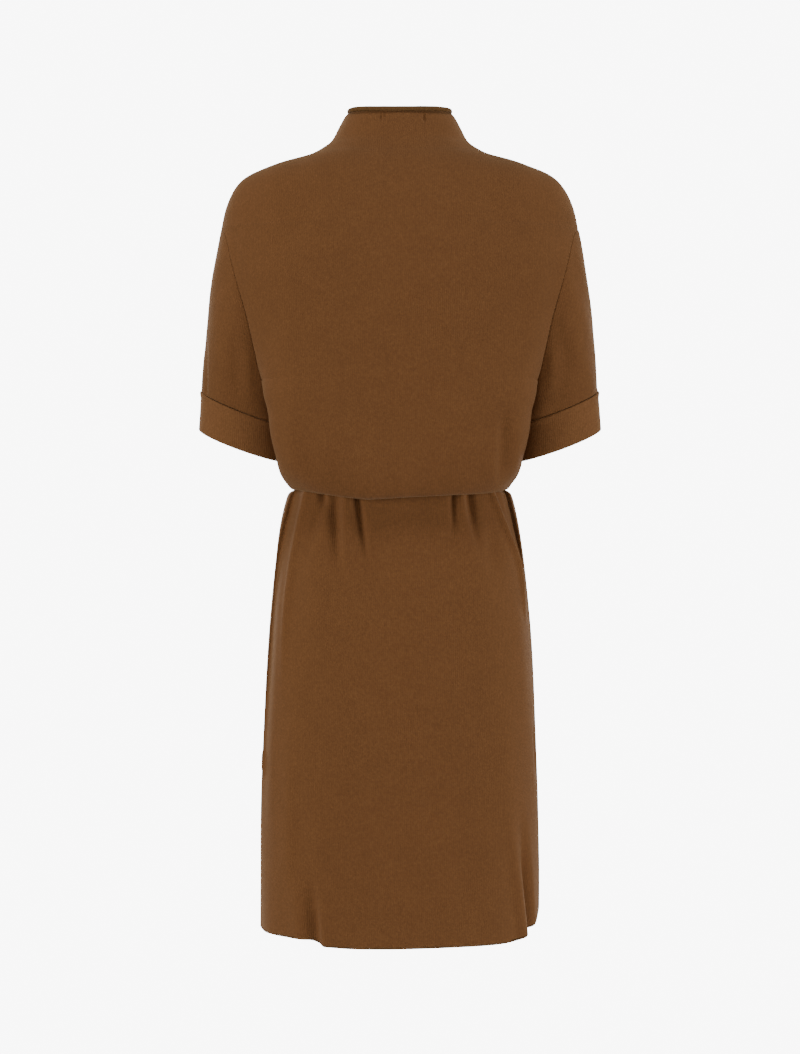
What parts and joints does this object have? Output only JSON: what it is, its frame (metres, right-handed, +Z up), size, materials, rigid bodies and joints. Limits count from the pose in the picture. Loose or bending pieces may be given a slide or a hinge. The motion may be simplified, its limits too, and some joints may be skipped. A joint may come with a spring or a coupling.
{
  "type": "knitted sweater dress",
  "caption": "Short-sleeved knitted dress with a funnel neck and rolled edge, a bodice bloused over a narrow waist and a straight skirt, held open as if worn.",
  "frame": {"origin": "centre line of the garment, level with where the shoulder lines leave the neck, where a wearer's shoulders hold it up", "axes": "+Z up; +Y towards the front of the garment, so its back faces -Y; +X towards the wearer's right"},
  "size_m": [0.5044, 0.2652, 1.0225],
  "materials": {
    "knit": "matt fine-gauge knit, brown melange",
    "cuff_knit": "matt double-layer knit, brown melange",
    "roll_knit": "matt knit rolled on itself, brown melange",
    "channel_knit": "matt gathered knit, brown melange"
  },
  "bodies": {
    "root": {"neck_roll": "roll_knit", "bodice_back": "knit", "bodice_front": "knit", "sleeve_left": "knit", "sleeve_right": "knit", "cuff_left": "cuff_knit", "cuff_right": "cuff_knit", "waist_channel": "channel_knit", "skirt_back": "knit", "skirt_front": "knit"}
  },
  "joints": []
}
